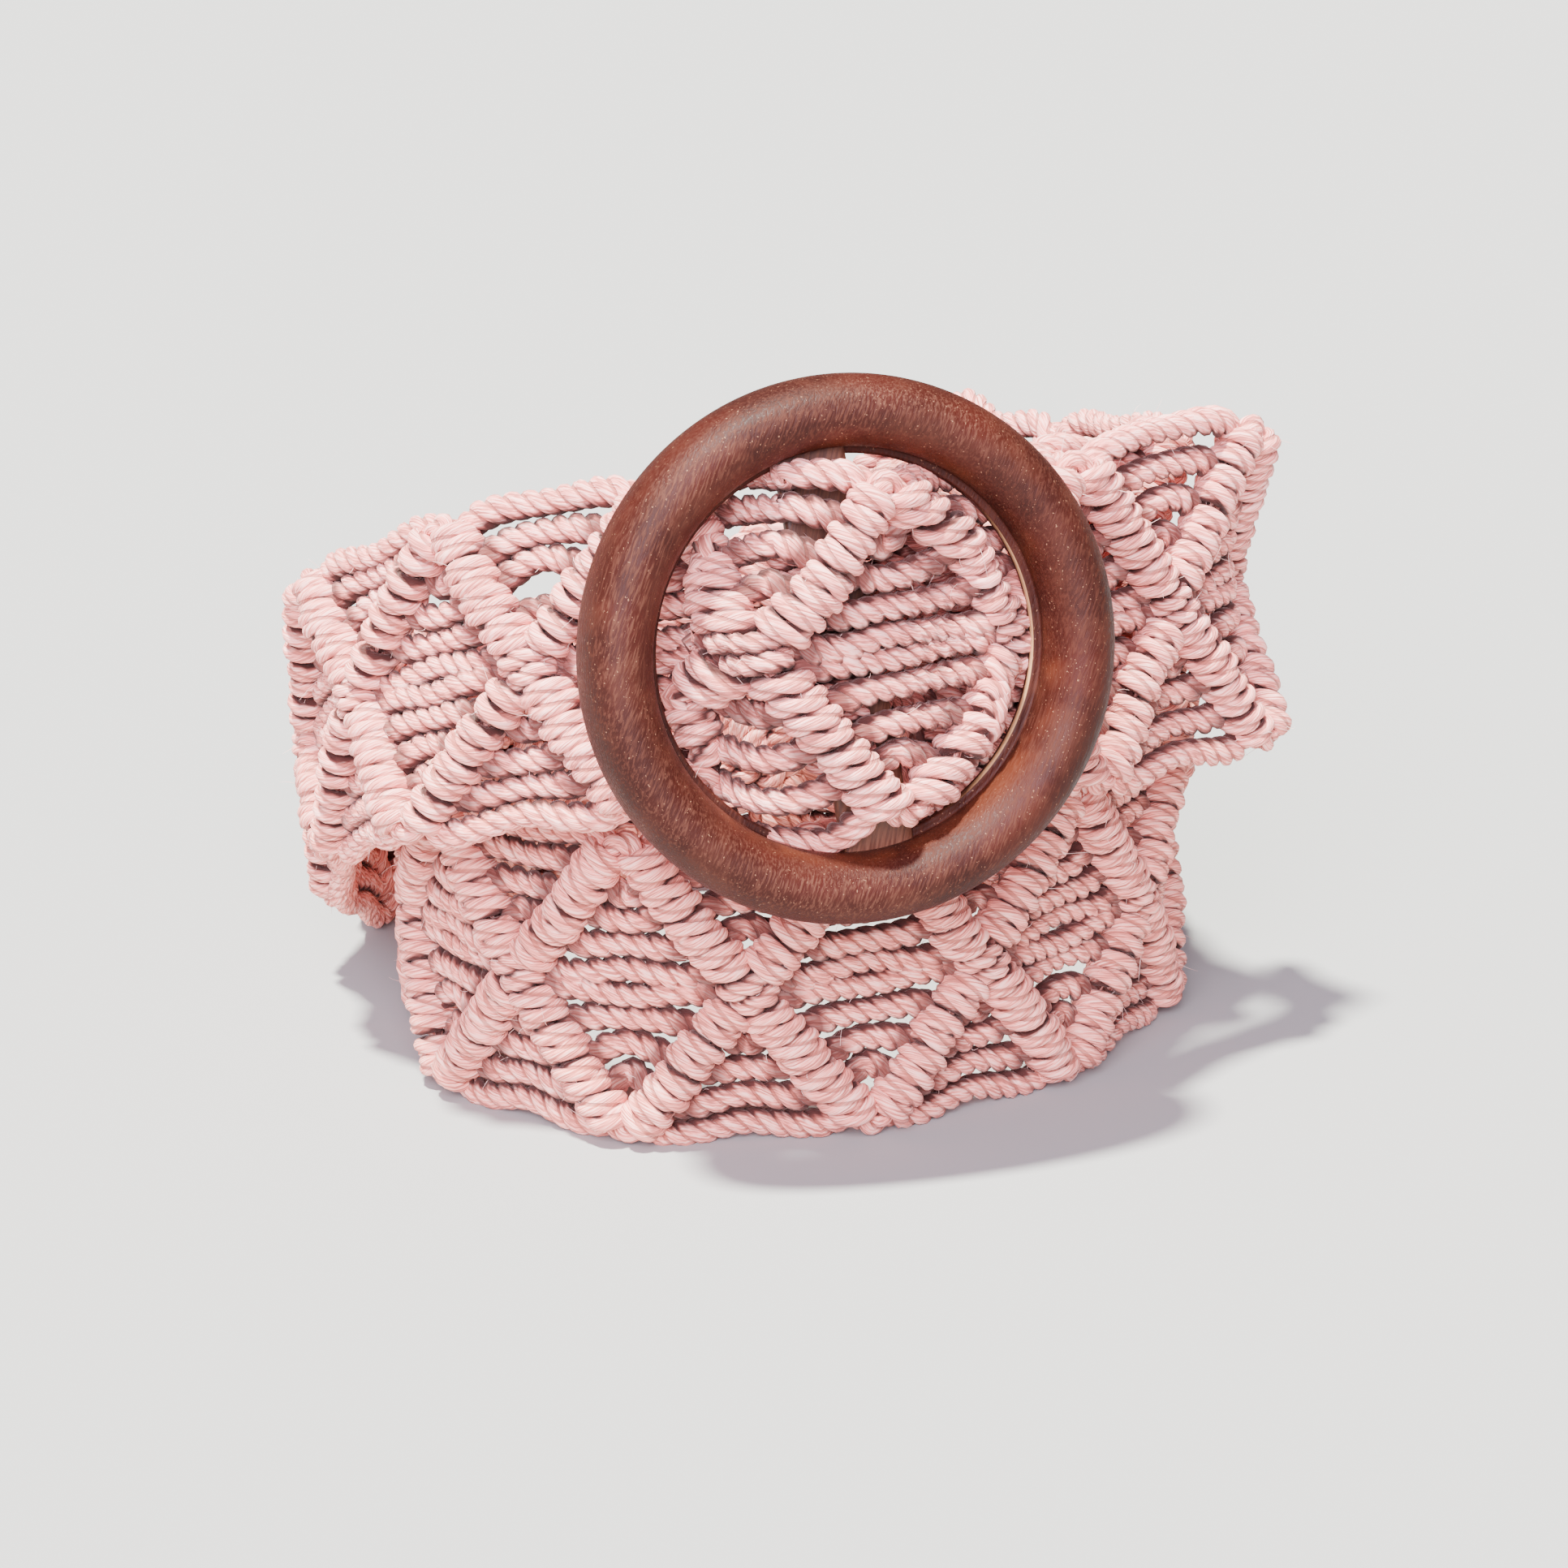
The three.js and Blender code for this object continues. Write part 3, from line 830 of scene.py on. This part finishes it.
for name, order, side in (("carrier_first", 0, 1), ("carrier_second", CORDS - 1, -1)):
    flat = carrier(side)
    level = flat[0][:, 1]
    open_side = np.where(np.abs(level) > OPEN_LEVEL, np.sign(level), 0)
    cords.append(whole_cord(name, order, flat, open_side))
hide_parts("belt_band")


# Loose fibre ends stand out of the cords all over, 0.8 to 4 mm long and as fine as a hair. Each is
# a thin closed tube of three sides that leaves the cord slantwise and bends. All are one mesh.
HAIRS = 4200
HAIR_HALF = 0.042
HAIR_TAPER = np.array([1.0, 1.0, 0.9, 0.75, 0.5])
HAIR_SLANT = 1.1
HAIR_BEND = 0.45
HAIR_LOG_LENGTH = 0.55
HAIR_LOG_SPREAD = 0.45
HAIR_SHORTEST = 0.8
HAIR_LONGEST = 4.0
HAIR_CLEAR = 0.3
HAIR_RINGS = len(HAIR_TAPER)
HAIR_SIDES = 3
HAIR_COLOUR = (0.95, 0.62, 0.57, 1)

roots, normals = [], []
for cord in cords:
    count = len(cord.data.vertices)
    picked = chance.choice(count, HAIRS // len(cords), replace=False)
    spot, normal = np.empty(3 * count, np.float32), np.empty(3 * count, np.float32)
    cord.data.vertices.foreach_get("co", spot)
    cord.data.vertex_normals.foreach_get("vector", normal)
    roots.append(spot.reshape(-1, 3)[picked])
    normals.append(normal.reshape(-1, 3)[picked])
roots, normals = np.concatenate(roots), np.concatenate(normals)
lean = unit(chance.normal(0, 1, roots.shape))
way = unit(normals + HAIR_SLANT * lean)
bend = chance.normal(0, HAIR_BEND, roots.shape)
long = chance.lognormal(HAIR_LOG_LENGTH, HAIR_LOG_SPREAD, len(roots))
long = np.clip(long, HAIR_SHORTEST, HAIR_LONGEST) * MM
f = np.linspace(0, 1, HAIR_RINGS)[None, :, None]
hair = roots[:, None] + long[:, None, None] * f * (way[:, None] + f * bend[:, None])
kept = hair[:, :, 2].min(axis=1) > HAIR_CLEAR * MM
hair, way, lean = hair[kept], way[kept], lean[kept]
first_way = unit(np.cross(way, lean))[:, None]
second_way = np.cross(way[:, None], first_way)
angle = 2 * np.pi * np.arange(HAIR_SIDES)[:, None] / HAIR_SIDES
section = np.cos(angle) * first_way + np.sin(angle) * second_way
thin = HAIR_HALF * MM * HAIR_TAPER
skin = hair[:, :, None] + section[:, None] * thin[None, :, None, None]
i, j = np.meshgrid(np.arange(HAIR_RINGS - 1), np.arange(HAIR_SIDES), indexing="ij")
a, b = i * HAIR_SIDES + j, i * HAIR_SIDES + (j + 1) % HAIR_SIDES
c, d = a + HAIR_SIDES, b + HAIR_SIDES
wall = np.stack([a, b, c, b, d, c], axis=-1).reshape(-1, 3)
end = HAIR_SIDES * (HAIR_RINGS - 1)
one = np.concatenate([wall, [[0, 2, 1], [end, end + 1, end + 2]]])
first_points = HAIR_SIDES * HAIR_RINGS * np.arange(len(hair))
triangles = (one[None] + first_points[:, None, None]).reshape(-1, 3)
fuzz = add_mesh("loose_fibres", skin.reshape(-1, 3), triangles)
wisp = Nodes("fibre_ends")
wisp.skin.inputs["Base Color"].default_value = HAIR_COLOUR
wisp.skin.inputs["Roughness"].default_value = 0.8
fuzz.data.materials.append(wisp.material)
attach(fuzz, "root")


# The ring is turned from one piece of wood, stained dark reddish brown and rubbed to a satin
# shine. Its front is round, its back flat, and a thin lip stands inwards at the back.
RING_SECTION = np.array([
    # radius, depth towards the front
    [44.3, -5.0], [44.85, -4.2], [45.0, -2.0], [44.8, 0.8], [44.0, 3.3], [42.2, 5.5], [39.6, 6.45],
    [37.0, 6.0], [35.0, 4.4], [33.8, 2.2], [33.3, -0.2], [33.3, -1.8], [33.45, -2.4], [33.1, -2.75],
    [32.3, -2.8], [31.95, -3.2], [31.95, -4.5], [32.3, -5.0], [36.0, -5.0], [40.5, -5.0],
])
RING_STEPS = 256
SECTION_STEPS = 5
RING_STAIN = (0.023, 0.0038, 0.0023, 1)
RING_RED = (0.040, 0.0064, 0.0036, 1)
RING_TAN = (0.062, 0.016, 0.009, 1)
RING_PAINTED_HIGHLIGHT = (0.145, 0.060, 0.038, 1)
RING_PAINTED_BOUNCE = (0.15, 0.040, 0.014, 1)
RING_RAW = (0.52, 0.29, 0.14, 1)
RING_FLECK = (0.34, 0.17, 0.10, 1)
RING_GRAIN = (360, 2500, 2500)
GRAIN_LEAN = math.radians(9)
GRAIN_RISE = (0.44, 0.66)
GRAIN_SHARE = 0.5
GRAIN_RELIEF = 0.12 * MM
BROAD_SCALE = 55.0
BROAD_RISE = (0.35, 0.65)
BLOTCH_SCALE = 140.0
BLOTCH_RISE = (0.45, 0.75)
BLOTCH_SHARE = 0.5
DASH_RISE = (0.46, 0.64)
DASH_CLOUD = (0.35, 0.60)
DASH_LEAST = 0.35
DASH_AT_RIGHT = 0.25
DASH_SHARE = 0.34
BOUNCE_RISE = (0.42, 0.62)
BOUNCE_SHARE = 0.25
FLECK_SCALE = 2600.0
FLECK_RISE = (0.70, 0.76)
FLECK_SHARE = 0.5
WORN_RISE = (0.30, 0.42)
SHINE_RISE = (0.35, 0.65)
SHINE_ROUGHNESS = (0.46, 0.68)

# Places on the ring as shares. Round the section they run from the outer back edge over the front
# to the lip and along the back, and round the ring from its right over its top and its left.
CREST = (0.16, 0.27, 0.32, 0.42)
INNER_SIDE = (0.38, 0.46, 0.54, 0.60)
LIP = (0.715, 0.735, 0.77, 0.80)
LEFT_SIDE = (0.06, 0.20, 0.76, 0.88)
RIGHT_UPPER = (0.10, 0.04)
RIGHT_LOWER = (0.80, 0.88)


def closed_curve(points, steps):
    """A closed cubic through the points, with steps places on each stretch: its slope at a point
    is half the way from the point before to the point after."""
    before, after = np.roll(points, 1, axis=0), np.roll(points, -1, axis=0)
    slope = (after - before) / 2
    slope_after = np.roll(slope, -1, axis=0)
    f = np.linspace(0, 1, steps, endpoint=False)[None, :, None]
    p, q, v, w = points[:, None], after[:, None], slope[:, None], slope_after[:, None]
    curve = p + f * (v + f * (3 * (q - p) - 2 * v - w + f * (v + w - 2 * (q - p))))
    return curve.reshape(-1, points.shape[1])


def grid_mesh(name, grid, closed_rows, closed_columns):
    """A surface over a grid of points: each cell is two triangles, and a closed direction joins
    its last row to its first. The texture coordinate is the share along both directions."""
    rows, columns = grid.shape[:2]
    row_cells = rows if closed_rows else rows - 1
    column_cells = columns if closed_columns else columns - 1
    i, j = np.meshgrid(np.arange(row_cells), np.arange(column_cells), indexing="ij")
    i2, j2 = (i + 1) % rows, (j + 1) % columns
    a, b, c, d = i * columns + j, i * columns + j2, i2 * columns + j, i2 * columns + j2
    triangles = np.stack([a, c, b, b, c, d], axis=-1).reshape(-1, 3)
    low_u, high_u, low_v, high_v = i / rows, (i + 1) / rows, j / columns, (j + 1) / columns
    u = np.stack([low_u, high_u, low_u, low_u, high_u, high_u], axis=-1)
    v = np.stack([low_v, low_v, high_v, high_v, low_v, high_v], axis=-1)
    uv = np.stack([u, v], axis=-1).reshape(-1, 2)
    return add_mesh(name, grid.reshape(-1, 3), triangles, uv)


section = closed_curve(RING_SECTION, SECTION_STEPS) * MM
turn = 2 * np.pi * np.arange(RING_STEPS) / RING_STEPS
outwards = np.cos(turn)[:, None] * ring_right + np.sin(turn)[:, None] * ring_up
ring_middle = RING_CENTRE + route_zero
ring_grid = (ring_middle + outwards[:, None] * section[None, :, :1]
             + ring_front * section[None, :, 1:])
ring = grid_mesh("turned_ring", ring_grid, True, True)

stain = Nodes("stained_wood")
grain_way = math.cos(GRAIN_LEAN) * ring_up - math.sin(GRAIN_LEAN) * ring_right
fine = stain.grain([grain_way, np.cross(grain_way, ring_front), ring_front], RING_GRAIN)
broad = stain.noise(stain.place(), BROAD_SCALE, detail=3.0, roughness=0.6)
blotch = stain.noise(stain.place(), BLOTCH_SCALE)
round_share, section_share = stain.split(stain.follow())[:2]
tone = stain.mix(stain.spread(broad, *BROAD_RISE), RING_STAIN, RING_RED)
tone = stain.mix(stain.times(stain.spread(blotch, *BLOTCH_RISE), BLOTCH_SHARE), tone, RING_TAN)
tone = stain.mix(stain.times(stain.spread(fine, *GRAIN_RISE), GRAIN_SHARE), tone, RING_TAN)

# Painted highlight: the crest is painted lighter in short dashes, most of all at the left.
crest = stain.between(section_share, *CREST)
left_side = stain.between(round_share, *LEFT_SIDE)
highlight_place = stain.times(crest, stain.spread(left_side, 0.0, 1.0, DASH_AT_RIGHT, 1.0))
highlight_place = stain.times(highlight_place, stain.spread(broad, *DASH_CLOUD, DASH_LEAST, 1.0))
dash = stain.times(stain.spread(fine, *DASH_RISE), highlight_place)
tone = stain.mix(stain.times(dash, DASH_SHARE), tone, RING_PAINTED_HIGHLIGHT)

# Painted light: the inner side is painted redder in places, for the light that the pink cotton
# throws onto it, and pale flecks lie all over.
inner = stain.between(section_share, *INNER_SIDE)
bounce_light = stain.times(inner, stain.spread(broad, *BOUNCE_RISE))
tone = stain.mix(stain.times(bounce_light, BOUNCE_SHARE), tone, RING_PAINTED_BOUNCE)
fleck = stain.spread(stain.noise(stain.place(), FLECK_SCALE, detail=1.0), *FLECK_RISE)
tone = stain.mix(stain.times(fleck, FLECK_SHARE), tone, RING_FLECK)

# The edge of the lip is worn down to the raw wood at the right.
lip = stain.between(section_share, *LIP)
right_side = stain.math("MAXIMUM", stain.spread(round_share, *RIGHT_UPPER),
                        stain.spread(round_share, *RIGHT_LOWER))
worn = stain.times(stain.times(lip, right_side), stain.spread(blotch, *WORN_RISE))
tone = stain.mix(worn, tone, RING_RAW)
stain.put(stain.skin.inputs["Base Color"], tone)
shine = stain.spread(fine, *SHINE_RISE, *SHINE_ROUGHNESS)
stain.put(stain.skin.inputs["Roughness"], shine)
stain.put(stain.skin.inputs["Normal"], stain.bump(fine, GRAIN_RELIEF))
stain.skin.inputs["Specular IOR Level"].default_value = 0.16
ring.data.materials.append(stain.material)
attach(ring, "root")
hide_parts("buckle_ring")


# The bar is a flat slip of the same wood with rounded edges, stained more thinly and let into the
# back of the ring. The belt starts on it and its free end passes over it.
BAR_LENGTH = 72.0
BAR_EDGE = 0.6
BAR_CORNER = 6.0
BAR_STEPS = 40
BAR_PLACES = np.array([-1.0, -1.0, -0.985, 0.985, 1.0, 1.0])
BAR_INSETS = np.array([1.0, 0.25, 0.0, 0.0, 0.25, 1.0])
BAR_GRAIN = (150, 2200, 2200)
BAR_TONE = (0.35, 0.65)
BAR_SHINE = (0.3, 0.7)
BAR_ROUGHNESS = (0.45, 0.62)
BAR_RELIEF = 0.05 * MM
BAR_RELIEF_SHARE = 0.8
BAR_PALE = (0.150, 0.052, 0.027, 1)
BAR_DARK = (0.080, 0.024, 0.013, 1)

turn = 2 * np.pi * np.arange(BAR_STEPS) / BAR_STEPS
flat_cos = np.sign(np.cos(turn)) * np.abs(np.cos(turn)) ** (2 / BAR_CORNER)
flat_sin = np.sign(np.sin(turn)) * np.abs(np.sin(turn)) ** (2 / BAR_CORNER)
along_bar = BAR_PLACES * BAR_LENGTH / 2 * MM
half_width = (BAR_HALF - BAR_INSETS * BAR_EDGE) * MM
half_thick = BAR_THICK / 2 - BAR_INSETS * BAR_EDGE * MM
half_width[[0, -1]] = 0
half_thick[[0, -1]] = 0
bar_grid = (bar_middle + along_bar[:, None, None] * ring_up
            + (half_width[:, None] * flat_cos)[..., None] * ring_right
            + (half_thick[:, None] * flat_sin)[..., None] * ring_front)
bar = grid_mesh("wood_bar", bar_grid, False, True)

slip = Nodes("pale_wood")
fine = slip.grain([ring_up, ring_right, ring_front], BAR_GRAIN)
tone = slip.mix(slip.spread(fine, *BAR_TONE), BAR_DARK, BAR_PALE)
slip.put(slip.skin.inputs["Base Color"], tone)
shine = slip.spread(fine, *BAR_SHINE, *BAR_ROUGHNESS)
slip.put(slip.skin.inputs["Roughness"], shine)
slip.put(slip.skin.inputs["Normal"], slip.bump(fine, BAR_RELIEF, BAR_RELIEF_SHARE))
bar.data.materials.append(slip.material)
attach(bar, "root")
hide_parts("buckle_bar")
